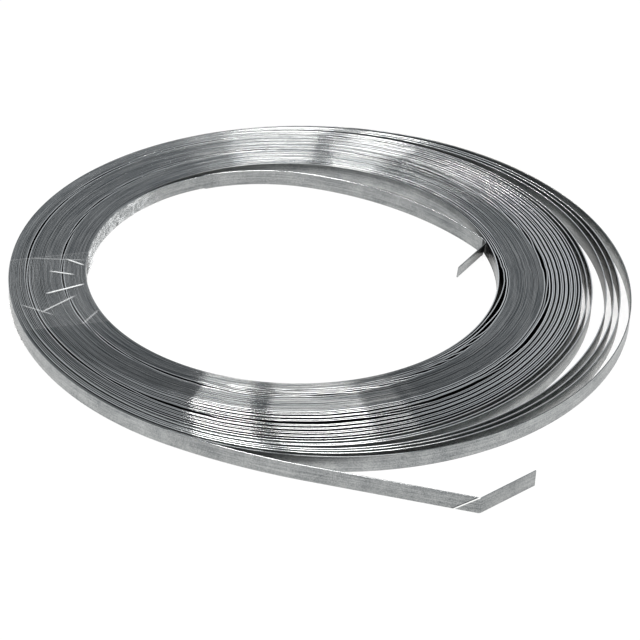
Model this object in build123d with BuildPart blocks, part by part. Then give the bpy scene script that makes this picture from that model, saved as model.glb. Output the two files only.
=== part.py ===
"""Coil of narrow steel strip, lying flat, with its outer turns sprung open on one side.

Millimetres, +Z up. The origin is on the axis of the bore, on the floor that the coil lies on.
Seen from above, the strip winds outwards counter-clockwise from its inner end to its outer end.
"""

import os
from math import acos, atan2, cos, degrees, radians, sin

from build123d import *

# Strip
strip_width = 10.0
strip_thickness = 0.7
turn_clearance = 0.05

# Wound turns
bore_radius = 121.0
tight_build = 39.2
loose_spread = 35.0
loose_side_angle = -20.0

# Loose turns, from the last tight one outwards: how far each springs away on the loose side
spread_shares = (0.30, 0.37, 0.43, 0.65, 0.75, 0.84, 1.0)
spread_power = 3
gap_reach_angle = 120.0
arc_step_angle = 20.0

# Lines between turns on the two ends of the coil
groove_count = 6
groove_width = 0.6
groove_depth = 0.6

# Inner end, sprung away from the bore wall and folded back
inner_root_angle = 154.0
inner_root_gap = 0.3
inner_curl = 18.0
inner_near_turn = 77.0
inner_far_radius = 180.0
inner_far_turn = 41.2
inner_fold_radius = 3.5
inner_fold_turn = 66.5
inner_tip_length = 31.0

# Outer end, run off the coil and folded
tail_leave_angle = -90.0
tail_root_length = 19.0
tail_curve_radius = 360.0
tail_curve_turn = 12.4
tail_straight_length = 90.5
tail_fold_radius = 1.5
tail_fold_turn = 53.6
tail_tip_length = 37.5

# Clear tape round the section of the coil
tape_angle = 195.0
tape_width = 75.0
tape_thickness = 0.1
tape_slack = 0.2
tape_cover_angle = 26.0

full_turn = 360.0
half_turn = 180.0
turn_pitch = strip_thickness + turn_clearance
half_strip = strip_thickness / 2
last_loose_turn = len(spread_shares) - 1
tail_turn = last_loose_turn + 1


def heading(angle):
    """Unit vector in the plan, at an angle in degrees from +X."""
    return Vector(cos(radians(angle)), sin(radians(angle)))


def turn_radius(turn, angle):
    """Middle of a loose turn, at an angle of up to half a turn either way from the loose side."""
    tight = bore_radius + tight_build + turn_pitch * (turn + angle / full_turn)
    share = spread_shares[min(turn, last_loose_turn)]
    return tight + loose_spread * share * abs(cos(radians(angle / 2))) ** spread_power


def turn_point(turn, angle, side):
    """Point of a loose turn, moved outwards from the middle of the strip by side."""
    return heading(loose_side_angle + angle) * (turn_radius(turn, angle) + side)


def angles_between(first, last):
    """Evenly spaced angles from first to last, two to an arc and about one step apart."""
    steps = 2 * max(1, round((last - first) / (2 * arc_step_angle)))
    return [first + (last - first) * step / steps for step in range(steps + 1)]


def arcs_through(points):
    """Chain of arcs through the points of a turn, each through three of them."""
    starts = range(0, len(points) - 2, 2)
    return [ThreePointArc(*points[start : start + 3]) for start in starts]


# Outline of the coil: the outer face of the last turn, which runs on along the tail and its fold
leave_radius = turn_radius(tail_turn, tail_leave_angle) + half_strip
root_angle = tail_leave_angle + degrees(tail_root_length / leave_radius)
once_round = angles_between(root_angle, half_turn)
onto_tail = angles_between(-half_turn, tail_leave_angle)[1:]
outline_points = [turn_point(last_loose_turn, angle, half_strip) for angle in once_round]
outline_points += [turn_point(tail_turn, angle, half_strip) for angle in onto_tail]

with BuildSketch() as coil_outline:
    with BuildLine():
        around = arcs_through(outline_points)
        leave = around[-1] % 1
        leave_point = around[-1] @ 1
        leave_angle = degrees(atan2(leave.Y, leave.X))
        tail_centre = leave_point + heading(leave_angle + 90) * (tail_curve_radius + strip_thickness)
        skipped_turn = degrees(tail_root_length / tail_curve_radius)
        inside_start = tail_centre - heading(leave_angle + skipped_turn + 90) * tail_curve_radius

        curve_out = JernArc(leave_point, leave, tail_curve_radius + strip_thickness, tail_curve_turn)
        run_out = Line(curve_out @ 1, curve_out @ 1 + (curve_out % 1) * tail_straight_length)
        fold_out = JernArc(run_out @ 1, run_out % 1, tail_fold_radius + strip_thickness, tail_fold_turn)
        tip_out = Line(fold_out @ 1, fold_out @ 1 + (fold_out % 1) * tail_tip_length)

        inside_heading = heading(leave_angle + skipped_turn)
        curve_in = JernArc(inside_start, inside_heading, tail_curve_radius, tail_curve_turn - skipped_turn)
        run_in = Line(curve_in @ 1, curve_in @ 1 + (curve_in % 1) * tail_straight_length)
        fold_in = JernArc(run_in @ 1, run_in % 1, tail_fold_radius, tail_fold_turn)
        tip_in = Line(fold_in @ 1, fold_in @ 1 + (fold_in % 1) * tail_tip_length)

        Line(tip_out @ 1, tip_in @ 1)
        Line(inside_start, around[0] @ 0)
    make_face()

# Gaps between the loose turns, open right through the coil
with BuildSketch() as turn_gaps:
    for turn in range(1, len(spread_shares)):
        with BuildLine():
            sweep_angles = angles_between(-gap_reach_angle, gap_reach_angle)
            near_side = arcs_through([turn_point(turn - 1, angle, half_strip) for angle in sweep_angles])
            far_side = arcs_through([turn_point(turn, angle, -half_strip) for angle in sweep_angles])
            Line(near_side[0] @ 0, far_side[0] @ 0)
            Line(near_side[-1] @ 1, far_side[-1] @ 1)
        make_face()

# Bore, with the sprung inner turn and its folded tip standing in it
inner_near_radius = bore_radius - inner_curl
outside_radius = inner_near_radius + strip_thickness
clear_radius = bore_radius - inner_root_gap
root_turn = degrees(
    acos((clear_radius**2 - inner_curl**2 - outside_radius**2) / (2 * inner_curl * outside_radius))
)
root_point = heading(inner_root_angle) * bore_radius
inner_centre = heading(inner_root_angle) * inner_curl
outside_start = inner_centre + heading(inner_root_angle - root_turn) * outside_radius
outside_angle = degrees(atan2(outside_start.Y, outside_start.X))

with BuildSketch() as bore_outline:
    with BuildLine():
        wall_turn = full_turn - (inner_root_angle - outside_angle)
        wall = CenterArc((0, 0), bore_radius, inner_root_angle, wall_turn)

        inner_heading = heading(inner_root_angle - 90)
        near_in = JernArc(root_point, inner_heading, inner_near_radius, -inner_near_turn)
        far_in = JernArc(near_in @ 1, near_in % 1, inner_far_radius, -inner_far_turn)
        bend_in = JernArc(far_in @ 1, far_in % 1, inner_fold_radius, -inner_fold_turn)
        end_in = Line(bend_in @ 1, bend_in @ 1 + (bend_in % 1) * inner_tip_length)

        outer_heading = heading(inner_root_angle - root_turn - 90)
        near_out = JernArc(outside_start, outer_heading, outside_radius, root_turn - inner_near_turn)
        far_out = JernArc(near_out @ 1, near_out % 1, inner_far_radius + strip_thickness, -inner_far_turn)
        bend_out = JernArc(far_out @ 1, far_out % 1, inner_fold_radius + strip_thickness, -inner_fold_turn)
        end_out = Line(bend_out @ 1, bend_out @ 1 + (bend_out % 1) * inner_tip_length)

        Line(end_in @ 1, end_out @ 1)
        Line(wall @ 1, outside_start)
    make_face()


def under_tape(reach, width):
    """Plan of the coil under the tape, grown past the bore wall and the outer face by reach."""
    first_angle = tape_angle - loose_side_angle - full_turn - tape_cover_angle
    covered = angles_between(first_angle, first_angle + 2 * tape_cover_angle)
    outer_side = half_strip + reach
    with BuildSketch() as plan:
        with BuildLine():
            outside = arcs_through([turn_point(tail_turn, angle, outer_side) for angle in covered])
            start_angle = tape_angle - tape_cover_angle
            inside = CenterArc((0, 0), bore_radius - reach, start_angle, 2 * tape_cover_angle)
            Line(outside[0] @ 0, inside @ 0)
            Line(outside[-1] @ 1, inside @ 1)
        make_face()
        Rectangle(2 * leave_radius, width, rotation=tape_angle, mode=Mode.INTERSECT)
    return plan.sketch


# Steel strip: the wound coil with both its ends, one piece of steel
groove_span = tight_build - groove_width
groove_shift = loose_spread * spread_shares[0] / 2

with BuildPart() as steel_strip:
    extrude(coil_outline.sketch, amount=strip_width)
    extrude(turn_gaps.sketch, amount=strip_width, mode=Mode.SUBTRACT)
    extrude(bore_outline.sketch, amount=strip_width, mode=Mode.SUBTRACT)
    for number in range(1, groove_count + 1):
        groove_share = number / (groove_count + 1)
        groove_radius = bore_radius + groove_share * (groove_span + groove_shift)
        groove_axis = heading(loose_side_angle) * (groove_shift * groove_share)
        with BuildSketch(Plane(groove_axis, x_dir=(1, 0, 0), z_dir=(0, -1, 0))):
            for face_level, bottom_level in ((0, groove_depth), (strip_width, strip_width - groove_depth)):
                with BuildLine():
                    Polyline(
                        (groove_radius - groove_width / 2, face_level),
                        (groove_radius + groove_width / 2, face_level),
                        (groove_radius, bottom_level),
                        close=True,
                    )
                make_face()
        revolve(axis=Axis(groove_axis, (0, 0, 1)), mode=Mode.SUBTRACT)
    pocket = under_tape(2 * tape_slack + tape_thickness, tape_width + 2 * tape_slack)
    extrude(pocket, amount=tape_thickness, mode=Mode.SUBTRACT)

# Clear tape: a film sleeve round the section, flush with the floor under the coil
with BuildPart() as clear_tape:
    extrude(under_tape(tape_slack + tape_thickness, tape_width), amount=strip_width + tape_thickness)
    inside_tape = under_tape(tape_slack, tape_width + 2 * tape_slack).moved(Location((0, 0, tape_thickness)))
    extrude(inside_tape, amount=strip_width - tape_thickness, mode=Mode.SUBTRACT)

os.makedirs("parts", exist_ok=True)
for name, piece in (("steel_strip", steel_strip), ("clear_tape", clear_tape)):
    piece.part.label = name
    export_step(piece.part, f"parts/{name}.step")
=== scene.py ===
# %% [markdown]
# This lesson dresses a coil of narrow bright steel strip. The strip is wound flat, so each turn stands
# on its edge, and clear tape holds the turns together on one side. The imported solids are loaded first
# and stay fixed: every piece below is made in the same frame, in metres, around them.

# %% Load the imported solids
import math

import bpy
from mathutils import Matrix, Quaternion, Vector, noise


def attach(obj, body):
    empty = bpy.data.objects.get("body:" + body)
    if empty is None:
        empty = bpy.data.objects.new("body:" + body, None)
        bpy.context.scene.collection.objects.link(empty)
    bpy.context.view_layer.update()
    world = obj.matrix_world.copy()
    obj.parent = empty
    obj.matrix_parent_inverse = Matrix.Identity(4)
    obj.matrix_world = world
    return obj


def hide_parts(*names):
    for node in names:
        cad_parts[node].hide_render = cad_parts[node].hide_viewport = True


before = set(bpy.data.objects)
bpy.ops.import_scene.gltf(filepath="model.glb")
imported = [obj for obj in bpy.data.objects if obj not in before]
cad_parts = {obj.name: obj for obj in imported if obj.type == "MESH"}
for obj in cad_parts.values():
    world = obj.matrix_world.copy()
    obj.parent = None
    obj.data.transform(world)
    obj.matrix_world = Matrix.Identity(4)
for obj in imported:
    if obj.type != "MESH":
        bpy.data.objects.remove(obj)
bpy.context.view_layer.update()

MM = 0.001

# %% [markdown]
# The photograph was taken from in front, about 34 degrees above the floor, with a long lens. A camera
# could be placed by eye, but the bore and the outer turns are near circles, so their ellipses give the
# viewing angle, the distance and the small tilt of the picture.


# %% Camera
def add_object(name, data):
    """New object in the scene that shows this data."""
    thing = bpy.data.objects.new(name, data)
    bpy.context.scene.collection.objects.link(thing)
    return thing


camera_place = Vector((10.92, -1078.3, 687.1)) * MM
camera_aim = Vector((17.28, -42.7, 0.0)) * MM
camera_roll = math.radians(2.04)

camera_data = bpy.data.cameras.new("photo_camera")
camera_data.sensor_width = 36.0
camera_data.lens = 121.35
camera = add_object("photo_camera", camera_data)
look = (camera_aim - camera_place).to_track_quat("-Z", "Y")
camera.location = camera_place
camera.rotation_euler = (look @ Quaternion((0.0, 0.0, 1.0), camera_roll)).to_euler()
bpy.context.scene.camera = camera
print("camera distance in mm:", round((camera_aim - camera_place).length / MM))

# %% [markdown]
# Every tree of nodes below is built with one small function. It makes a node, gives it its settings,
# and fills each input with a plain value or with a link from another node. A finish starts from an
# empty tree, so that all that is in it is there on purpose.


# %% One function for nodes
def add_node(tree, kind, inputs=None, **settings):
    """Add a node; inputs maps a socket's name or number to a value or to another node's output."""
    node = tree.nodes.new(kind)
    for name, value in settings.items():
        setattr(node, name, value)
    for key, value in (inputs or {}).items():
        if isinstance(value, bpy.types.NodeSocket):
            tree.links.new(value, node.inputs[key])
        else:
            node.inputs[key].default_value = value
    return node


def linear_colour(hex_code):
    """Linear colour of an sRGB hex code such as 9b9e9f."""
    shares = [int(hex_code[place : place + 2], 16) / 255 for place in (0, 2, 4)]
    linear = [s / 12.92 if s <= 0.04045 else ((s + 0.055) / 1.055) ** 2.4 for s in shares]
    return (*linear, 1.0)


def new_finish(name):
    """New material and its tree, which is empty."""
    material = bpy.data.materials.new(name)
    material.use_nodes = True
    material.node_tree.nodes.clear()
    return material, material.node_tree


print("middle grey in linear light:", linear_colour("808080"))

# %% [markdown]
# The strip is cold-rolled steel. Rolling leaves a bright skin on its two walls, with very fine lines
# along the strip. A picture of scratches could be wrapped round it, but noise that is stretched along
# the strip does the same for any length. The real lines are finer than a pixel, so they are drawn as
# coarse as they need to be to show.

# %% Skin of the walls
streak_length_mm = 45.0
streak_height_mm = 0.9
grain_mm = 0.7
smudge_mm = 18.0
grain_share = 0.5
smudge_share = 0.3


def skin_pattern(tree, run, place, level):
    """Pattern of the walls: long streaks and fine grain, with faint smudges."""
    along = add_node(
        tree, "ShaderNodeMath", {0: run, 1: 1 / (streak_length_mm * MM)}, operation="MULTIPLY"
    )
    across = add_node(
        tree, "ShaderNodeMath", {0: level, 1: 1 / (streak_height_mm * MM)}, operation="MULTIPLY"
    )
    rolled = add_node(tree, "ShaderNodeCombineXYZ", {0: along.outputs[0], 1: across.outputs[0]})
    streaks = add_node(
        tree,
        "ShaderNodeTexNoise",
        {"Vector": rolled.outputs[0], "Scale": 1.0, "Detail": 3.0, "Roughness": 0.6},
    )
    grain = add_node(
        tree, "ShaderNodeTexNoise", {"Vector": place, "Scale": 1 / (grain_mm * MM), "Detail": 2.0}
    )
    smudges = add_node(
        tree,
        "ShaderNodeTexNoise",
        {"Vector": place, "Scale": 1 / (smudge_mm * MM), "Detail": 3.0, "Roughness": 0.7},
    )
    fine = add_node(
        tree,
        "ShaderNodeMix",
        {0: grain_share, 2: streaks.outputs["Fac"], 3: grain.outputs["Fac"]},
        data_type="FLOAT",
    )
    mottled = add_node(
        tree,
        "ShaderNodeMix",
        {0: smudge_share, 2: fine.outputs[0], 3: smudges.outputs["Fac"]},
        data_type="FLOAT",
    )
    return mottled.outputs[0]


print("streaks, grain and smudges in mm:", streak_length_mm, grain_mm, smudge_mm)

# %% [markdown]
# At the outer fold a painted white highlight runs aslant over the wall of the steel, with a painted
# shadow on its near side. It could be cut into the mesh, but it is thinner than the strip, so it is
# drawn by an attribute that says how far along the strip the fold is.

# %% Painted highlight and shadow at the outer fold
crease_start_mm = -13.0
crease_slant = 1.3
crease_cover = 0.85
# Place and width of each line in millimetres, and its colour: a painted shadow, then a painted highlight
crease_highlight_and_shadow_lines = ((-1.1, 0.6, "3c3e40"), (0.0, 0.75, "fbfcfc"))


def paint_crease_highlight_and_shadow(tree, tone, level):
    """Tone of the walls with the painted shadow and painted highlight of the crease drawn over it."""
    fold = add_node(tree, "ShaderNodeAttribute", attribute_name="from_fold")
    slanted = add_node(
        tree,
        "ShaderNodeMath",
        {0: level, 1: -crease_slant, 2: fold.outputs["Fac"]},
        operation="MULTIPLY_ADD",
    )
    for place_mm, width_mm, hex_code in crease_highlight_and_shadow_lines:
        middle = (crease_start_mm + place_mm) * MM
        aside = add_node(tree, "ShaderNodeMath", {0: slanted.outputs[0], 1: middle}, operation="SUBTRACT")
        far = add_node(tree, "ShaderNodeMath", {0: aside.outputs[0]}, operation="ABSOLUTE")
        reach = {"From Min": width_mm * MM, "From Max": 0.5 * width_mm * MM, "To Max": crease_cover}
        line = add_node(tree, "ShaderNodeMapRange", {"Value": far.outputs[0], **reach})
        drawn = add_node(
            tree,
            "ShaderNodeMix",
            {0: line.outputs[0], 6: tone, 7: linear_colour(hex_code)},
            data_type="RGBA",
        )
        tone = drawn.outputs[2]
    return tone


print("lines of the crease:", len(crease_highlight_and_shadow_lines))

# %% [markdown]
# Slitting and handling leave the edges of the strip smoother than its walls. On the coil the edges are
# what shows most, so they have a tone of their own: it changes slowly along a turn, takes a painted
# highlight where a turn has room beside it, and is darker at the front, a painted shade.

# %% Tone of the edges
edge_tone_mm = 50.0
# Edges at the front get a painted shade, growing from the first depth to the second
front_start_mm = -60.0
front_full_mm = -125.0
front_shade_share = 0.42
edge_stops = ((0.3, "6a6f72"), (0.7, "a3a5a6"))
# Colour of the painted highlight on the edges
highlight_colour = "f4f7f9"
# Colour of the painted shade, on the edges at the front and on the walls between turns
painted_shade_colour = "202122"


def edge_tone(tree, run, depth):
    """Tone of the edges along the strip, with painted shade at the front and a painted highlight where there
    is room beside them.
    """
    lengths = add_node(tree, "ShaderNodeMath", {0: run, 1: 1 / (edge_tone_mm * MM)}, operation="MULTIPLY")
    slow = add_node(
        tree,
        "ShaderNodeTexNoise",
        {"W": lengths.outputs[0], "Scale": 1.0, "Detail": 4.0},
        noise_dimensions="1D",
    )
    plain = add_node(tree, "ShaderNodeValToRGB", {0: slow.outputs["Fac"]})
    for stop, (position, hex_code) in zip(plain.color_ramp.elements, edge_stops):
        stop.position = position
        stop.color = linear_colour(hex_code)
    # Edges at the front are darkened: a painted shade
    reach = {"From Min": front_start_mm * MM, "From Max": front_full_mm * MM, "To Max": front_shade_share}
    front = add_node(tree, "ShaderNodeMapRange", {"Value": depth, **reach})
    front_shaded = add_node(
        tree,
        "ShaderNodeMix",
        {0: front.outputs[0], 6: plain.outputs[0], 7: linear_colour(painted_shade_colour)},
        data_type="RGBA",
    )
    # Edges get a painted highlight where the strip has room beside them
    highlight = add_node(tree, "ShaderNodeAttribute", attribute_name="edge_highlight")
    highlighted = add_node(
        tree,
        "ShaderNodeMix",
        {0: highlight.outputs["Fac"], 6: front_shaded.outputs[2], 7: linear_colour(highlight_colour)},
        data_type="RGBA",
    )
    return highlighted.outputs[2]


print("edge tones:", [hex_code for _, hex_code in edge_stops])

# %% [markdown]
# The finish puts walls and edges together. The height above the middle of the strip tells them apart,
# because the edges are rounded and lie above and below the walls. The walls are satin and the edges
# nearly polished, so that the soft boxes show in the edges as crisp bands.

# %% Bright steel finish
edge_start_mm = 4.92
wall_start_mm = 4.82
edge_roughness = 0.12
wall_roughness = 0.38
wall_stops = ((0.38, "6d7173"), (0.62, "b3b5b5"))


def make_bright_steel():
    """Cold-rolled bright steel: satin walls with faint streaks, and smoother edges."""
    # To the eye: a cool grey metal with long soft streaks, painted dark between turns as shade
    material, tree = new_finish("cold_rolled_bright_steel")
    run = add_node(tree, "ShaderNodeAttribute", attribute_name="strip_run").outputs["Fac"]
    place = add_node(tree, "ShaderNodeTexCoord").outputs["Object"]
    spot = add_node(tree, "ShaderNodeSeparateXYZ", {0: place}).outputs
    skin = add_node(tree, "ShaderNodeValToRGB", {0: skin_pattern(tree, run, place, spot["Z"])})
    for stop, (position, hex_code) in zip(skin.color_ramp.elements, wall_stops):
        stop.position = position
        stop.color = linear_colour(hex_code)
    # Walls between turns are painted dark, a painted shade
    shade_mask = add_node(tree, "ShaderNodeAttribute", attribute_name="wall_painted_shade")
    shaded_walls = add_node(
        tree,
        "ShaderNodeMix",
        {0: shade_mask.outputs["Fac"], 6: skin.outputs[0], 7: linear_colour(painted_shade_colour)},
        data_type="RGBA",
    )
    height = add_node(tree, "ShaderNodeAttribute", attribute_name="from_middle").outputs["Fac"]
    reach = {"From Min": edge_start_mm * MM, "From Max": wall_start_mm * MM}
    wall = add_node(tree, "ShaderNodeMapRange", {"Value": height, **reach}).outputs[0]
    edges = edge_tone(tree, run, spot["Y"])
    walls = paint_crease_highlight_and_shadow(tree, shaded_walls.outputs[2], spot["Z"])
    tone = add_node(tree, "ShaderNodeMix", {0: wall, 6: edges, 7: walls}, data_type="RGBA")
    dullness = add_node(
        tree, "ShaderNodeMapRange", {"Value": wall, "To Min": edge_roughness, "To Max": wall_roughness}
    )
    shader = add_node(
        tree,
        "ShaderNodeBsdfPrincipled",
        {"Base Color": tone.outputs[2], "Metallic": 1.0, "Roughness": dullness.outputs[0]},
    )
    add_node(tree, "ShaderNodeOutputMaterial", {"Surface": shader.outputs[0]})
    return material


bright_steel = make_bright_steel()
print("finish:", bright_steel.name)

# %% [markdown]
# The coil is one strip of about fifty metres. Its outer turns are loose: they lie close on one side and
# have sprung apart on the other, each by its own share, and at the front they crowd against the last
# one. They could be drawn as circles, but a rule for the radius at each angle lets one turn run on into
# the next, as the strip does.

# %% Loose turns
strip_width = 10.0
strip_thickness = 0.7
root_angle = 154.0
tight_turns = 46

loose_start_radius = 160.2
loose_pitch = 0.75
loose_spread = 35.0
loose_side_angle = -20.0
spread_shares = (0.30, 0.37, 0.43, 0.65, 0.75, 0.84, 1.0)
spread_power = 3
loose_start = tight_turns + (loose_side_angle + 180.0 - root_angle) / 360.0
# How many millimetres each loose turn crowds outwards at the front
crowd_shifts = (7.0, 7.0, 6.3, 3.5, 2.5, 1.8, 0.6)
crowd_angle = 275.0
crowd_reach = 60.0


def turned_from(angle, middle):
    """How far an angle is turned from a middle one, up to half a turn either way, in degrees."""
    return (angle - middle + 180.0) % 360.0 - 180.0


def swell(aside):
    """One in the middle, fading to nothing at one either way."""
    return math.cos(aside * math.pi / 2) ** 2 if abs(aside) < 1.0 else 0.0


def loose_side_share(angle):
    """One on the loose side of the coil, fading to nothing on the side opposite."""
    return abs(math.cos(math.radians(angle - loose_side_angle) / 2)) ** spread_power


def front_share(angle):
    """One at the front of the coil, where the sprung turns crowd together, nothing away from it."""
    return swell(turned_from(angle, crowd_angle) / crowd_reach)


def loose_radius(turn):
    """Middle of the strip in the loose turns, after that many turns from the inner end."""
    past = turn - loose_start
    whole = max(0, min(math.floor(past), len(spread_shares) - 1))
    angle = root_angle + 360.0 * turn
    sprung = loose_spread * spread_shares[whole] * loose_side_share(angle)
    crowded = crowd_shifts[whole] * front_share(angle)
    return loose_start_radius + loose_pitch * (past - 0.5) + sprung + crowded


print("loose turns:", len(spread_shares), "from", round(loose_radius(loose_start), 2), "mm")

# %% [markdown]
# A few dark joints wander over the tight turns, each from turn to turn towards the bore, where the
# winding was slack. They are read from the photograph, as a few places on each line; the turns
# are then wound round these places, so that a joint is a real gap between two turns.

# %% Wandering joints
# For each joint how wide it is beside the other gaps, then angles, counted on past a full turn, and radii
joint_lines = (
    (
        1.2,
        (62.0, 165.0), (85.0, 160.4), (110.0, 158.1), (150.0, 156.1), (190.0, 155.1), (225.0, 155.7),
        (250.0, 156.9), (280.0, 155.4), (325.0, 151.2), (360.0, 148.6), (420.0, 142.8), (470.0, 139.8),
        (540.0, 135.2), (585.0, 132.9), (630.0, 131.1), (670.0, 127.9), (720.0, 122.2), (730.0, 120.5),
    ),
    (0.7, (248.0, 131.4), (275.0, 129.7), (330.0, 126.3), (360.0, 123.0), (375.0, 121.0)),
    (0.7, (255.0, 128.4), (275.0, 126.8), (330.0, 124.4), (365.0, 121.0)),
)


def joints_across(angle):
    """Radius and width of each wandering joint that crosses this angle of the coil."""
    for width, *line in joint_lines:
        for (first, start), (last, end) in zip(line, line[1:]):
            for passed in (0.0, 360.0, 720.0):
                if first <= angle + passed < last:
                    yield start + (end - start) * (angle + passed - first) / (last - first), width


print("joints at the front:", [round(radius, 1) for radius, _ in joints_across(270.0)])

# %% [markdown]
# Between tight turns the eye sees only the gaps. There are hairlines, which come and go along the strip;
# the last tight turns spring apart a little on the loose side and at the front; and the first turns at
# the bore are slack beside the folded inner end. Each kind is a small rule, and a gap is their sum. Only
# the shares between the gaps count, because they are scaled together in the next step.

# %% Gaps between tight turns
# How much each of the last tight turns springs from the one under it, from the first of them outwards
spring_shares = (0.5, 0.0, 0.9, 0.0, 1.0, 0.1, 0.9, 0.0, 1.1, 0.3, 0.9, 0.0, 1.1, 0.3, 0.9, 0.1, 1.0, 0.9)
spring_first = 28.0
spring_ease_turns = 4.0
spring_side_power = 0.7
spring_front_share = 0.7
bore_gaps = (0.9, 0.8, 0.5)
bore_gap_angle = -12.0
bore_gap_reach = 70.0
joint_reach = 0.85
least_gap = 0.015
tight_side_gap = 0.05
hairline_gap = 1.8


def spring_gap(turn, angle):
    """Gap from the turns springing apart on the loose side, uneven from turn to turn."""
    if turn < spring_first:
        return 0.0
    past = turn - spring_first
    way = loose_side_share(angle) ** spring_side_power + spring_front_share * front_share(angle)
    return spring_shares[math.floor(past)] * min(1.0, past / spring_ease_turns) * way


def bore_gap(turn, angle):
    """Gap between the first turns at the bore, beside the folded inner end."""
    if turn >= len(bore_gaps):
        return 0.0
    return bore_gaps[math.floor(turn)] * swell(turned_from(angle, bore_gap_angle) / bore_gap_reach)


def turn_gap(turn, joints):
    """Gap over the strip at that many turns from its inner end, with joints at these turns."""
    angle = (root_angle + 360.0 * turn) % 360.0
    hairline = max(0.0, noise.noise(Vector((turn * 2.3, 7.1, 0.3)))) ** 3
    loose_share = loose_side_share(angle)
    even = least_gap + tight_side_gap * (1.0 - loose_share)
    # The gap opens over the first quarter of the first turn
    gap = min(1.0, turn * 4.0) * (even + hairline_gap * hairline * (0.5 + loose_share))
    for joint, width in joints:
        gap += width * swell((turn + 0.5 - joint) / joint_reach)
    return gap + spring_gap(turn, angle) + bore_gap(turn, angle)


print("gap over turn 36 on the loose side in mm:", round(turn_gap(36.5, ()), 2))

# %% [markdown]
# Each turn lies on the turn under it, so its radius is the radius one turn earlier, plus the thickness,
# plus the gap between the two. At each angle the gaps are scaled together, so that the tight turns fill
# the room between the bore and the first loose turn.

# %% Wind the tight turns
bore_radius = 121.0
closest_pitch = 0.72
steps_per_turn = 200
first_radius = bore_radius + strip_thickness / 2


def wind_column(share, joints):
    """Radii of the tight turns at one angle, so far round from the root, up to the first loose turn."""
    gaps = [turn_gap(turn + share, joints) for turn in range(tight_turns)]
    radii = [first_radius + closest_pitch * share]
    room = loose_radius(tight_turns + share) - radii[0] - closest_pitch * tight_turns
    for gap in gaps:
        radii.append(radii[-1] + closest_pitch + gap * room / sum(gaps))
    return radii


def joint_turns(share):
    """Turns at which the wandering joints lie at one angle, found on the turns wound without them."""
    plain = wind_column(share, ())
    for radius, width in joints_across((root_angle + 360.0 * share) % 360.0):
        for turn, (low, high) in enumerate(zip(plain, plain[1:])):
            if low <= radius < high:
                yield turn + share + (radius - low) / (high - low), width


tight_radii = []
for step in range(steps_per_turn):
    share = step / steps_per_turn
    tight_radii.append(wind_column(share, tuple(joint_turns(share))))
print("tight turns:", tight_turns, "from", first_radius, "to", round(tight_radii[0][-1], 2), "mm")

# %% [markdown]
# The middle line of the strip is now a point for each step of the winding. Its height wanders a little,
# because the turns were knocked down to about the same level by hand; that unevenness is what makes the
# edges of neighbouring turns catch the light differently.

# %% Middle line of the strip
strip_middle = 5.22
height_wander = 0.28


def strip_radius(step):
    """Radius of the strip's middle line that many steps from the inner end of the winding."""
    whole, part = divmod(step, steps_per_turn)
    return tight_radii[part][whole] if whole < tight_turns else loose_radius(step / steps_per_turn)


def strip_place(radius, turn):
    """Point of the strip's middle line, in metres, at a radius and so many turns from the root."""
    angle = math.radians(root_angle + 360.0 * turn)
    height = strip_middle + height_wander * noise.noise(Vector((turn * 1.7, 3.3, 9.0)))
    return Vector((radius * math.cos(angle), radius * math.sin(angle), height)) * MM


def turn_place(step):
    """Point of the strip's middle line, in metres, that many steps from the inner end of the winding."""
    return strip_place(strip_radius(step), step / steps_per_turn)


print("inner end of the winding in mm:", turn_place(0) / MM)

# %% [markdown]
# Edges with room beside them get a painted highlight. That could be painted by hand, but the winding
# already knows how much room each turn has, so it is worked out from there.

# %% Painted highlight on the edges
tight_room = 0.95
room_span = 0.5
loose_highlight = 0.6
least_highlight = 0.3
left_highlight_share = 0.5
highlight_base = 0.75
highlight_change = 0.9


def room_share(room):
    """Nothing for turns that lie tight, one for turns with plenty of room between them."""
    return max(0.0, min(1.0, (room - tight_room) / room_span))


def edge_highlight(step):
    """How strong the painted highlight on the edges is: most where there is room beside a turn, least
    between tight turns.
    """
    room_outside = strip_radius(step + steps_per_turn) - strip_radius(step)
    if step >= tight_turns * steps_per_turn:
        return loose_highlight * room_share(room_outside)
    room_inside = strip_radius(step) - strip_radius(step - steps_per_turn) if step >= steps_per_turn else 0.0
    turn = step / steps_per_turn
    # Edges at the two sides get more painted highlight than those at the front and the back
    sideways = math.cos(math.radians(root_angle + 360.0 * turn))
    side = sideways if sideways > 0.0 else -left_highlight_share * sideways
    highlight_noise = highlight_base + highlight_change * noise.noise(Vector((turn * 1.9, 5.7, 1.3)))
    highlight_level = least_highlight + (1.0 - least_highlight) * side * highlight_noise
    return room_share(max(room_inside, room_outside)) * highlight_level


print("shine on the last tight turn:", round(edge_highlight(tight_turns * steps_per_turn - 1), 2))

# %% [markdown]
# Walls that are shut in between turns are painted dark, a painted shade. The walls in the open are not, but
# for the bore wall beside the folded end and the loose turns where they have sprung furthest.

# %% Painted shade on the walls
fold_shade_turn = 0.615
fold_shade_reach = 0.04
fold_shade = 0.95
loose_shade_angle = 2.0
loose_shade_reach = 30.0
loose_shade = 0.85


def wall_painted_shade(step):
    """How much painted shade the walls get: one between tight turns, nothing where a wall is in the open."""
    turn = step / steps_per_turn
    if step <= steps_per_turn:
        # The bore wall gets a painted shadow where the folded inner end stands close to it
        return fold_shade * swell((turn - fold_shade_turn) / fold_shade_reach)
    if step < tight_turns * steps_per_turn:
        return 1.0
    # Loose turns get painted shade where they have sprung furthest, all but the last one
    if turn > loose_start + len(spread_shares) - 1:
        return 0.0
    aside = turned_from(root_angle + 360.0 * turn, loose_shade_angle)
    return loose_shade * swell(aside / loose_shade_reach)


# Painted shade on the bore wall beside the fold
print("oil on the bore wall beside the fold:", round(wall_painted_shade(round(fold_shade_turn * steps_per_turn)), 2))

# %% [markdown]
# Both ends of the strip are bent by hand. The inner end springs off the bore wall and is folded back at
# its tip; the outer end runs off the coil nearly straight and is folded too. They are followed as a
# person would walk them: so far straight on, then a turn of so much with such a radius.

# %% Walk along the free ends
walk_step = 3.0
bend_step_angle = 4.0


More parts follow.
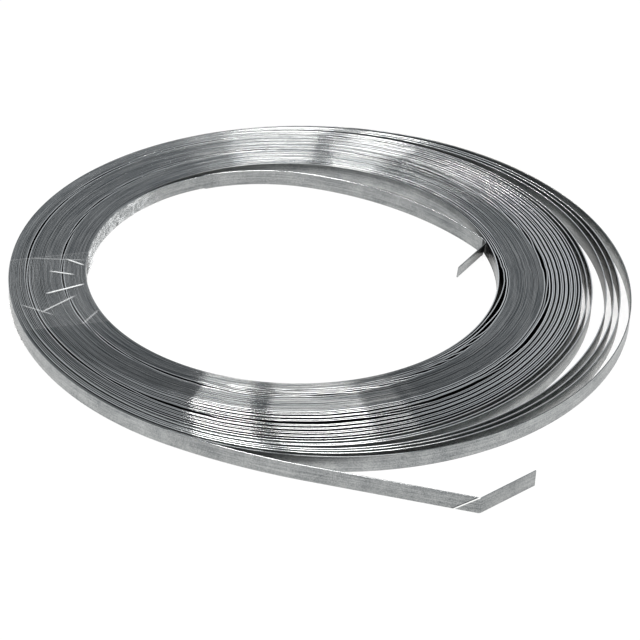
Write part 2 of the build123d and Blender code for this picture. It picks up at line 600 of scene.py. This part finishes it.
def walk(place, heading, legs):
    """Points along runs and bends: each leg is a radius and a turn to the left, or None and a length."""
    points = []
    for radius, amount in legs:
        length = amount if radius is None else radius * math.radians(abs(amount))
        count = max(2, math.ceil(length / walk_step))
        if radius is not None:
            count = max(count, math.ceil(abs(amount) / bend_step_angle))
        turn = 0.0 if radius is None else math.radians(amount) / count
        chord = length / count if turn == 0.0 else 2 * radius * math.sin(abs(turn) / 2)
        for _ in range(count):
            heading += turn / 2
            place = place + Vector((math.cos(heading), math.sin(heading), 0.0)) * chord * MM
            heading += turn / 2
            points.append(place)
    return points


print("steps of the walk:", walk_step, "mm, or", bend_step_angle, "degrees in a bend")

# %% [markdown]
# The sizes of the two ends are those of the solids, but for the inner fold, which lies a little further
# round in the photograph. The outer end starts where the strip leaves the coil, in the strip's own
# direction there, which is found from two points close together.

# %% Inner and outer end
inner_curl = 18.0
inner_near_radius = bore_radius - inner_curl
half = strip_thickness / 2
# Off the bore wall, back towards it, round the fold, and along the tip
inner_legs = (
    (inner_near_radius + half, -77.0),
    (180.0 + half, -42.1),
    (3.5 + half, -66.5),
    (None, 31.0),
)
inner_start = turn_place(0)
inner_points = walk(inner_start, math.radians(root_angle - 90.0), inner_legs)

tail_fold_radius = 1.5
tail_fold_turn = 53.6
tail_tip_length = 37.5
# Off the coil, straight on, round the fold, and along the tip
outer_legs = (
    (360.0 + half, 12.4),
    (None, 90.5),
    (tail_fold_radius + half, tail_fold_turn),
    (None, tail_tip_length),
)
# The strip runs on for a quarter of a turn after the loose turns, and then leaves the coil
run_on_turns = 0.25
last_turn = loose_start + len(spread_shares) + run_on_turns
last_step = math.floor(last_turn * steps_per_turn)
outer_start = strip_place(loose_radius(last_turn), last_turn)
just_before = last_turn - 0.001
outer_way = outer_start - strip_place(loose_radius(just_before), just_before)
outer_points = [outer_start] + walk(outer_start, math.atan2(outer_way.y, outer_way.x), outer_legs)
print("inner end at", inner_points[-1] / MM, "outer end at", outer_points[-1] / MM)

# %% [markdown]
# A strip that follows a path could be extruded by hand, turn by turn. A small tree of geometry nodes
# does it once for every stretch: a rounded section of the strip's width and thickness is swept along
# the path, standing upright, and the length so far is kept for the streaks of the finish.


# %% Strip tree
def make_strip_tree():
    """Sweep a rounded strip section, standing on edge, along a path."""
    tree = bpy.data.node_groups.new("strip_on_edge", "GeometryNodeTree")
    tree.interface.new_socket("Path", in_out="INPUT", socket_type="NodeSocketGeometry")
    for name in ("Width", "Thickness", "Edge radius"):
        tree.interface.new_socket(name, in_out="INPUT", socket_type="NodeSocketFloat")
    tree.interface.new_socket("Edge points", in_out="INPUT", socket_type="NodeSocketInt")
    tree.interface.new_socket("Finish", in_out="INPUT", socket_type="NodeSocketMaterial")
    tree.interface.new_socket("Strip", in_out="OUTPUT", socket_type="NodeSocketGeometry")
    given = add_node(tree, "NodeGroupInput").outputs
    run = add_node(tree, "GeometryNodeSplineParameter")
    measured = add_node(
        tree,
        "GeometryNodeStoreNamedAttribute",
        {"Geometry": given["Path"], "Name": "strip_run", "Value": run.outputs["Length"]},
        data_type="FLOAT",
        domain="POINT",
    )
    upright = add_node(tree, "GeometryNodeSetCurveNormal", {"Curve": measured.outputs[0]}, mode="Z_UP")
    section = add_node(
        tree,
        "GeometryNodeCurvePrimitiveQuadrilateral",
        {"Width": given["Thickness"], "Height": given["Width"]},
    )
    rounded = add_node(
        tree,
        "GeometryNodeFilletCurve",
        {"Curve": section.outputs[0], "Radius": given["Edge radius"], "Count": given["Edge points"]},
        mode="POLY",
    )
    swept = add_node(
        tree,
        "GeometryNodeCurveToMesh",
        {"Curve": upright.outputs[0], "Profile Curve": rounded.outputs[0], "Fill Caps": True},
    )
    smooth = add_node(tree, "GeometryNodeSetShadeSmooth", {"Geometry": swept.outputs[0]})
    real = add_node(tree, "GeometryNodeRealizeInstances", {"Geometry": smooth.outputs[0]})
    finished = add_node(
        tree, "GeometryNodeSetMaterial", {"Geometry": real.outputs[0], "Material": given["Finish"]}
    )
    add_node(tree, "NodeGroupOutput", {0: finished.outputs[0]})
    return tree


strip_tree = make_strip_tree()
print("tree:", strip_tree.name, "nodes:", len(strip_tree.nodes))

# %% [markdown]
# The tree runs on a path object, with its sizes given before it is first evaluated, and its result is kept
# as a plain mesh. The path can lean, point by point, which the folded inner tip needs.

# %% Sweep along a path
edge_radius = 0.3
edge_points = 3


def bake(carrier, name):
    """Keep what a carrier object's modifiers make as one plain mesh piece, in place of the carrier."""
    depsgraph = bpy.context.evaluated_depsgraph_get()
    mesh = bpy.data.meshes.new_from_object(carrier.evaluated_get(depsgraph), depsgraph=depsgraph)
    bpy.data.objects.remove(carrier)
    mesh.name = name
    return add_object(name, mesh)


def sweep_strip(name, points, lean):
    """Mesh piece of the strip along the points, leaning over by these angles."""
    path = bpy.data.curves.new(name + "_path", "CURVE")
    path.dimensions = "3D"
    spline = path.splines.new("POLY")
    spline.points.add(len(points) - 1)
    for point, place, tilt in zip(spline.points, points, lean):
        point.co = (*place, 1.0)
        point.tilt = tilt
    carrier = add_object(name + "_path", path)
    modifier = carrier.modifiers.new(name, "NODES")
    modifier.node_group = strip_tree
    values = {
        "Width": strip_width * MM,
        "Thickness": strip_thickness * MM,
        "Edge radius": edge_radius * MM,
        "Edge points": edge_points,
        "Finish": bright_steel,
    }
    for item in strip_tree.interface.items_tree:
        if item.in_out == "INPUT" and item.name in values:
            modifier[item.identifier] = values[item.name]
    return bake(carrier, name)


print("strip section in mm:", strip_width, "by", strip_thickness)

# %% [markdown]
# What the finish needs to know about each place of the strip, such as how strong the painted highlight on
# its edges is, is stored on the points of the mesh. The sweep makes one ring of points at each point of the
# path, so each value is repeated for a ring.

# %% One stretch of the strip
far_from_fold = 1.0


def make_strip(name, points, highlight, wall_shade, from_fold=None, lean=None):
    """One stretch of the strip along the points, riding on the coil and standing for its solid."""
    piece = sweep_strip(name, points, lean or [0.0] * len(points))
    ring = len(piece.data.vertices) // len(points)
    levels = [place.z for place in points for _ in range(ring)]
    heights = [abs(vertex.co.z - level) for vertex, level in zip(piece.data.vertices, levels)]
    piece.data.attributes.new("from_middle", "FLOAT", "POINT").data.foreach_set("value", heights)
    along = {
        "edge_highlight": highlight,
        "wall_painted_shade": wall_shade,
        "from_fold": from_fold or [far_from_fold] * len(points),
    }
    for attribute, values in along.items():
        spread = [value for value in values for _ in range(ring)]
        piece.data.attributes.new(attribute, "FLOAT", "POINT").data.foreach_set("value", spread)
    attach(piece, "root")
    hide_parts("steel_strip")
    print(name, "triangles:", sum(len(face.vertices) - 2 for face in piece.data.polygons))
    return piece


print("distance that stands for no fold, in metres:", far_from_fold)

# %% [markdown]
# The turns are swept in three stretches, so that each piece stays light. The last one runs on along the
# outer end, and there each point also gets its distance from the fold, for the painted highlight and shadow
# of the crease.

# %% Turns and outer end
# The walls of the free ends are a little darker
end_wall_darkening = 0.12
# Painted highlight on the edges of the outer end
outer_end_highlight = 0.3
middle_step = tight_turns // 2 * steps_per_turn
outer_step = tight_turns * steps_per_turn

fold_runs = [0.0]
for near, far in zip(outer_points, outer_points[1:]):
    fold_runs.append(fold_runs[-1] + (far - near).length)
past_fold = tail_tip_length + math.radians(tail_fold_turn) * (tail_fold_radius + half)
fold_run = fold_runs[-1] - past_fold * MM

for name, first, last, end_points in (
    ("strip_inner_turns", 0, middle_step, []),
    ("strip_middle_turns", middle_step, outer_step, []),
    ("strip_loose_turns", outer_step, last_step, outer_points),
):
    steps = range(first, last + 1)
    end_runs = fold_runs if end_points else []
    make_strip(
        name,
        [turn_place(step) for step in steps] + end_points,
        [edge_highlight(step) for step in steps] + [outer_end_highlight] * len(end_points),
        [wall_painted_shade(step) for step in steps] + [end_wall_darkening] * len(end_points),
        [far_from_fold] * len(steps) + [run - fold_run for run in end_runs],
    )

# %% [markdown]
# The inner end is its own stretch, from its tip to the bore wall. Beside the fold the tip is painted dark,
# a painted shade where it faces the wall, and it leans over, more and more round the fold. Its end is cut
# aslant, so that it looks upright although it leans.

# %% Inner end
tip_count = 11
fold_count = 17
tip_lean = math.radians(14.0)
tip_cut_slant = 0.35
tip_cut_reach = 0.1 * MM
# Painted highlight on the edges of the inner end
inner_end_highlight = 0.35

inner_path = inner_points[::-1] + [inner_start]
rest_count = len(inner_path) - tip_count - fold_count
# Painted shade on the tip beside the fold, where it faces the bore wall
inner_shade = [fold_shade * (place / tip_count) ** 2 for place in range(tip_count)]
inner_shade += [fold_shade] * fold_count + [end_wall_darkening] * rest_count
inner_lean = [tip_lean] * tip_count + [tip_lean * (1.0 - place / fold_count) for place in range(fold_count)]
inner_lean += [0.0] * rest_count
inner_highlight = [inner_end_highlight] * len(inner_path)
inner_end = make_strip("strip_inner_end", inner_path, inner_highlight, inner_shade, lean=inner_lean)

tip_way = (inner_path[0] - inner_path[1]).normalized()
for vertex in inner_end.data.vertices:
    if (vertex.co - inner_path[0]).dot(tip_way) > -tip_cut_reach:
        vertex.co += tip_way * tip_cut_slant * (vertex.co.z - inner_path[0].z)
print("lean of the tip in degrees:", round(math.degrees(tip_lean), 1))

# %% [markdown]
# The tape is thin clear film. Clear film hardly shows: the eye finds it by its creases, which catch the
# light and look white, and by its crumpled end on the bore wall. It could be glass-like, but so thin a
# film bends no light, so the finish is a pale skin that is almost see-through where it lies flat and
# nearly opaque white along the creases, a painted highlight.

# %% Clear film finish
flat_cover = 0.01
# Cover of the film along the creases, a painted white highlight
crease_highlight_cover = 0.9


def make_clear_film():
    """Clear polypropylene film: nearly invisible where it lies flat, with a painted white highlight along
    its creases.
    """
    # To the eye: a faint sheen, and white lines where the film is creased, which are painted highlights
    material, tree = new_finish("clear_polypropylene_film")
    # Creases, ridges and the bunch are painted white as highlights; the cut edges show as faint lines
    film_highlight_and_rim = add_node(tree, "ShaderNodeAttribute", attribute_name="film_highlight_and_rim")
    cover = add_node(
        tree,
        "ShaderNodeMapRange",
        {"Value": film_highlight_and_rim.outputs["Fac"], "To Min": flat_cover, "To Max": crease_highlight_cover},
    )
    shader = add_node(
        tree,
        "ShaderNodeBsdfPrincipled",
        {"Base Color": linear_colour("e9ecee"), "Roughness": 0.4, "Alpha": cover.outputs[0]},
    )
    add_node(tree, "ShaderNodeOutputMaterial", {"Surface": shader.outputs[0]})
    return material


clear_film = make_clear_film()
print("finish:", clear_film.name)

# %% [markdown]
# The creases on the top of the film are straight lines that run from the outside towards the bore. Each
# is given by its two ends, and a point of the film is as white as the strongest crease near it, a painted
# highlight.

# %% Creases of the film
# First angle and radius of each crease, last angle and radius, and how white its painted highlight is
top_creases = (
    (181.0, 133.0, 184.0, 122.0, 0.8),
    (186.5, 142.0, 188.5, 128.0, 0.7),
    (196.0, 146.0, 193.5, 123.0, 1.0),
    (203.0, 153.0, 198.5, 130.0, 0.4),
    (212.0, 139.0, 207.0, 122.0, 0.22),
    (199.0, 162.0, 205.0, 147.0, 0.2),
    (181.0, 154.0, 181.3, 122.0, 0.12),
)
crease_half_width = 0.6
crease_fade_length = 4.0
crease_end_share = 0.15


def plan_point(angle, radius):
    """Point in the plan, in millimetres."""
    return Vector((math.cos(math.radians(angle)), math.sin(math.radians(angle)))) * radius


top_lines = [(plan_point(a, b), plan_point(c, d), white) for a, b, c, d, white in top_creases]


def crease_at(place):
    """How strongly the creases show at a point of the plan."""
    strongest = 0.0
    for start, end, white in top_lines:
        along = (end - start).normalized()
        run = (place - start).dot(along)
        left = (end - start).length - run
        if run <= 0.0 or left <= 0.0:
            continue
        fade = min(1.0, max(0.0, min(run, left) / crease_fade_length + crease_end_share))
        aside = abs((place - start).cross(along))
        strongest = max(strongest, white * fade * max(0.0, 1.0 - aside / crease_half_width))
    return strongest


print("creases on the top:", len(top_lines))

# %% [markdown]
# The film is wrapped once round the section of the coil. At each place across the tape a loop runs over
# the top, down the bore wall, under the coil and up the outer face.

# %% Loop round the section
tape_angle = 195.0
film_top = 10.5
film_bottom = 0.03
film_slack = 0.25
film_step = 0.5
wall_count = 14


def tape_loop(offset):
    """Film at an offset across the tape: distances along the tape and heights, all round the section."""
    inside = math.sqrt((bore_radius - film_slack) ** 2 - offset**2)
    outside = inside
    # The outer face is a spiral, so its place is found in a few rounds
    for _ in range(6):
        angle = tape_angle + math.degrees(math.atan2(offset, outside))
        turn = loose_start + len(spread_shares) + (angle - loose_side_angle - 180.0) / 360.0
        outside = math.sqrt((loose_radius(turn) + strip_thickness / 2 + film_slack) ** 2 - offset**2)
    top_count = round((outside - inside) / film_step)
    corners = (
        ((outside, film_top), (inside, film_top), top_count),
        ((inside, film_top), (inside, film_bottom), wall_count),
        ((inside, film_bottom), (outside, film_bottom), top_count // 4),
        ((outside, film_bottom), (outside, film_top), wall_count),
    )
    loop = []
    for (reach, height), (last_reach, last_height), count in corners:
        for step in range(count):
            share = step / count
            loop.append((reach + (last_reach - reach) * share, height + (last_height - height) * share))
    return loop


print("points round the middle of the tape:", len(tape_loop(0.0)))

# %% [markdown]
# The sheet is a fine grid of these loops. Its top is raised along the creases and bubbles a little between
# them, the creases are painted white as highlights, and its two cut edges show as faint lines.

# %% Film round the section
tape_width = 75.0
rim_white = 0.08
bubble_height = 0.06
bubble_size = 6.0
crease_height = 0.3


def make_film_sheet():
    """Vertices, faces and whiteness of the film round the section: painted highlights on the creases and
    faint lines at the cut edges.
    """
    forward = plan_point(tape_angle, 1.0)
    sideways = plan_point(tape_angle + 90.0, 1.0)
    columns = round(tape_width / film_step)
    vertices, faces, film_highlight_and_rim = [], [], []
    count = min(len(tape_loop(0.0)), len(tape_loop(tape_width / 2)))
    for column in range(columns + 1):
        offset = (column / columns - 0.5) * tape_width
        loop = tape_loop(offset)
        rim = rim_white if column in (0, columns) else 0.0
        for place in range(count):
            reach, height = loop[round(place * len(loop) / count) % len(loop)]
            spot = forward * reach + sideways * offset
            on_top = height > film_top - 0.01
            crease = crease_at(spot) if on_top else 0.0
            bubble = noise.noise(Vector((spot.x, spot.y, height)) / bubble_size)
            lift = bubble_height * bubble + crease_height * crease if on_top else 0.0
            vertices.append(Vector((spot.x, spot.y, height + lift)) * MM)
            film_highlight_and_rim.append(max(crease, rim))
    for column in range(columns):
        here, there = column * count, (column + 1) * count
        for place in range(count):
            beside = (place + 1) % count
            faces.append((here + place, there + place, there + beside, here + beside))
    return vertices, faces, film_highlight_and_rim


sheet_vertices, sheet_faces, sheet_highlight_and_rim = make_film_sheet()
print("film round the section:", len(sheet_faces), "faces")

# %% [markdown]
# The end of the film is crumpled against the bore wall and the inner turn, and bunched up at the edge of
# the tape. Cloth simulation could crumple it, but a sheet whose folds come from two sizes of noise, with
# painted white highlights along their ridges, looks the same at this scale.

# %% Crumpled end of the film
flap_start = 134.0
flap_turn = 47.0
flap_fade = 12.0
flap_bottom = 0.4
flap_height = 9.9
flap_columns = 150
flap_rows = 30
wall_mm_per_degree = 2.1
fold_size = 4.2
small_fold_size = 1.9
small_fold_share = 0.25
bunch_angle = 177.0
bunch_reach = 5.0
bunch_rise = 1.2
fold_depth = 1.3
bunch_depth = 1.2
ridge_width = 0.22
flap_white = 0.06
# Painted highlight along the ridges and on the bunch
ridge_highlight = 0.4
bunch_highlight = 0.4


def make_film_flap():
    """Vertices, faces and whiteness of the crumpled end of the film, with painted highlights along its
    ridges and on the bunch.
    """
    vertices, faces, film_highlight_and_rim = [], [], []
    for column in range(flap_columns + 1):
        angle = flap_start + flap_turn * column / flap_columns
        off_root = math.radians(min(0.0, angle - root_angle))
        inner_face = inner_curl * math.cos(off_root)
        inner_face += math.sqrt(inner_near_radius**2 - (inner_curl * math.sin(off_root)) ** 2)
        bunch = max(0.0, 1.0 - abs(angle - bunch_angle) / bunch_reach)
        start = min(1.0, (angle - flap_start) / flap_fade)
        for row in range(flap_rows + 1):
            height = flap_bottom + (flap_height + bunch_rise * bunch) * row / flap_rows
            spot = Vector((angle * wall_mm_per_degree, height, 0.0))
            small_fold = abs(noise.noise(spot / small_fold_size + Vector((9.0, 2.0, 0.0))))
            fold = abs(noise.noise(spot / fold_size)) + small_fold_share * small_fold
            bulge = (film_slack + fold_depth * fold * start) + bunch_depth * bunch * (0.4 + fold)
            place = plan_point(angle, inner_face - bulge)
            vertices.append(Vector((place.x, place.y, height)) * MM)
            ridge = max(0.0, 1.0 - fold / ridge_width)
            # Ridges and the bunch get a painted highlight
            white = flap_white + ridge_highlight * ridge + bunch_highlight * bunch * (0.3 + ridge)
            film_highlight_and_rim.append(start * min(1.0, white))
    for column in range(flap_columns):
        for row in range(flap_rows):
            here = column * (flap_rows + 1) + row
            there = here + flap_rows + 1
            faces.append((here, here + 1, there + 1, there))
    return vertices, faces, film_highlight_and_rim


flap_vertices, flap_faces, flap_highlight = make_film_flap()
print("crumpled end:", len(flap_faces), "faces")

# %% [markdown]
# Sheet and crumpled end become one piece. A Solidify modifier gives the film its thickness, so that the
# mesh is closed, and the result is kept as a plain mesh.

# %% One piece of film
film_thickness = 0.05

shift = len(sheet_vertices)
shifted_faces = [tuple(corner + shift for corner in face) for face in flap_faces]
film_mesh = bpy.data.meshes.new("tape_film_sheet")
film_mesh.from_pydata(sheet_vertices + flap_vertices, [], sheet_faces + shifted_faces)
whiteness = film_mesh.attributes.new("film_highlight_and_rim", "FLOAT", "POINT")
whiteness.data.foreach_set("value", sheet_highlight_and_rim + flap_highlight)
film_mesh.polygons.foreach_set("use_smooth", [True] * len(film_mesh.polygons))
film_mesh.materials.append(clear_film)
film_carrier = add_object("tape_film_sheet", film_mesh)
thickness = film_carrier.modifiers.new("thickness", "SOLIDIFY")
thickness.thickness = film_thickness * MM
thickness.offset = 0.0
film = bake(film_carrier, "tape_film")
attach(film, "root")
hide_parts("clear_tape")
print("film faces:", len(film.data.polygons))

# %% [markdown]
# The coil lies on white paper. A bright lamp on white card could make it white, but then the steel would
# be too bright as well. So the paper shows as white to the camera and in reflections by itself, and takes
# a soft shadow near the coil. Between close turns it gets no light and shows as dark.

# %% Paper of the floor
shadow_reach_mm = 30.0


def make_floor_paper():
    """White paper: shows as white to the camera and in reflections, and still takes a soft shadow."""
    material, tree = new_finish("white_studio_paper")
    rays = add_node(tree, "ShaderNodeLightPath").outputs
    seen = add_node(
        tree, "ShaderNodeMath", {0: rays["Is Camera Ray"], 1: rays["Is Transmission Ray"]}, operation="ADD"
    )
    sky = add_node(tree, "ShaderNodeAmbientOcclusion", {"Distance": shadow_reach_mm * MM}, samples=8)
    open_sky = sky.outputs["AO"]
    seen_share = add_node(
        tree,
        "ShaderNodeMapRange",
        {"Value": open_sky, "From Min": 0.02, "From Max": 0.06, "To Max": 0.95},
    )
    mirrored_share = add_node(
        tree,
        "ShaderNodeMapRange",
        {"Value": open_sky, "From Min": 0.12, "From Max": 0.45, "To Max": 0.7},
    )
    straight = add_node(
        tree, "ShaderNodeMath", {0: seen.outputs[0], 1: seen_share.outputs[0]}, operation="MULTIPLY"
    )
    share = add_node(
        tree,
        "ShaderNodeMath",
        {0: rays["Is Glossy Ray"], 1: mirrored_share.outputs[0], 2: straight.outputs[0]},
        operation="MULTIPLY_ADD",
    )
    paper = add_node(tree, "ShaderNodeBsdfDiffuse", {"Color": linear_colour("f2f2f2")})
    white = add_node(tree, "ShaderNodeEmission", {"Color": linear_colour("ffffff"), "Strength": 1.0})
    mixed = add_node(
        tree, "ShaderNodeMixShader", {0: share.outputs[0], 1: paper.outputs[0], 2: white.outputs[0]}
    )
    add_node(tree, "ShaderNodeOutputMaterial", {"Surface": mixed.outputs[0]})
    return material


def make_shaded_paper():
    """Paper under the tight turns, where no light gets in: a dark colour, painted shade."""
    material, tree = new_finish("shaded_studio_paper")
    paper = add_node(tree, "ShaderNodeBsdfDiffuse", {"Color": linear_colour("202020")})
    add_node(tree, "ShaderNodeOutputMaterial", {"Surface": paper.outputs[0]})
    return material


papers = (make_floor_paper(), make_shaded_paper())
print("papers:", [paper.name for paper in papers])

# %% [markdown]
# The floor is three rings: inside the bore, under the tight turns, and all round. The middle ring is
# painted dark, a painted shade, and the other two are the white paper.

# %% Floor
floor_radius = 8000.0
floor_corners = [(0.0, 0.0, 0.0)]
floor_faces = []
for step in range(steps_per_turn):
    turn = tight_turns + step / steps_per_turn
    for radius in (first_radius, loose_radius(turn), floor_radius):
        place = plan_point(root_angle + 360.0 * turn, radius) * MM
        floor_corners.append((place.x, place.y, 0.0))
    here = 1 + 3 * step
    there = 1 + 3 * ((step + 1) % steps_per_turn)
    floor_faces.append((0, here, there))
    floor_faces.append((here, here + 1, there + 1, there))
    floor_faces.append((here + 1, here + 2, there + 2, there + 1))
floor_mesh = bpy.data.meshes.new("studio_floor")
floor_mesh.from_pydata(floor_corners, [], floor_faces)
for paper in papers:
    floor_mesh.materials.append(paper)
floor_mesh.polygons.foreach_set("material_index", [0, 1, 0] * steps_per_turn)
floor = add_object("studio_floor", floor_mesh)
print("floor faces:", len(floor_faces))

# %% [markdown]
# Three soft boxes hang over the coil on the side of the camera, one of them dim, and a small one hangs
# behind it. The rounded edges of the turns mirror them where they run across the view, which gives the
# bright bands at the back and at the front; at the sides the edges mirror the grey room instead.


# %% Soft boxes
def add_soft_box(name, front, back, height, radiance):
    """Soft box facing the floor; its front and back side are each a Y and two ends in X, in metres."""
    glowing, tree = new_finish(name)
    glow = add_node(tree, "ShaderNodeEmission", {"Color": linear_colour("fffcf8"), "Strength": radiance})
    add_node(tree, "ShaderNodeOutputMaterial", {"Surface": glow.outputs[0]})
    corners = [(front[1], front[0]), (back[1], back[0]), (back[2], back[0]), (front[2], front[0])]
    mesh = bpy.data.meshes.new(name)
    mesh.from_pydata([(x, y, height) for x, y in corners], [], [(0, 1, 2, 3)])
    mesh.materials.append(glowing)
    box = add_object(name, mesh)
    # The boxes light the coil and show in the steel, but a camera above them looks through
    box.visible_camera = False


# The sides lean in towards the back, as the rounded edges see them
soft_boxes = (
    ("soft_box_left", (-1.1, -1.34, -0.5), (-0.3, -0.877, -0.32), 2.0, 20.5),
    ("soft_box_right", (-1.1, -0.21, 0.957), (-0.3, -0.14, 0.625), 2.0, 18.0),
    ("soft_box_dim", (-1.1, 0.957, 1.763), (-0.3, 0.625, 1.125), 2.0, 4.8),
    ("soft_box_far", (0.9, -0.072, -0.045), (1.1, -0.0656, -0.042), 1.0, 45.0),
)
for soft_box in soft_boxes:
    add_soft_box(*soft_box)
print("soft boxes:", len(soft_boxes))

# %% [markdown]
# All round is a plain grey studio, pale near the floor. The steel mirrors it, so its grey is most of what
# the eye takes for the colour of the steel.

# %% Room
# Height of each tone, as a share of straight up, and its colour in linear light
room_stops = ((0.27, (0.95, 0.95, 0.95, 1.0)), (0.42, (0.54, 0.56, 0.58, 1.0)))


def make_room():
    """Grey studio whose walls are pale near the floor."""
    world = bpy.data.worlds.new("grey_studio")
    world.use_nodes = True
    tree = world.node_tree
    tree.nodes.clear()
    way = add_node(tree, "ShaderNodeTexCoord")
    level = add_node(tree, "ShaderNodeSeparateXYZ", {0: way.outputs["Generated"]})
    shade = add_node(tree, "ShaderNodeValToRGB", {0: level.outputs["Z"]})
    for stop, (position, colour) in zip(shade.color_ramp.elements, room_stops):
        stop.position = position
        stop.color = colour
    light = add_node(tree, "ShaderNodeBackground", {"Color": shade.outputs[0], "Strength": 1.0})
    add_node(tree, "ShaderNodeOutputWorld", {"Surface": light.outputs[0]})
    return world


bpy.context.scene.world = make_room()
bpy.context.scene.view_settings.view_transform = "Standard"
print("room:", bpy.context.scene.world.name)
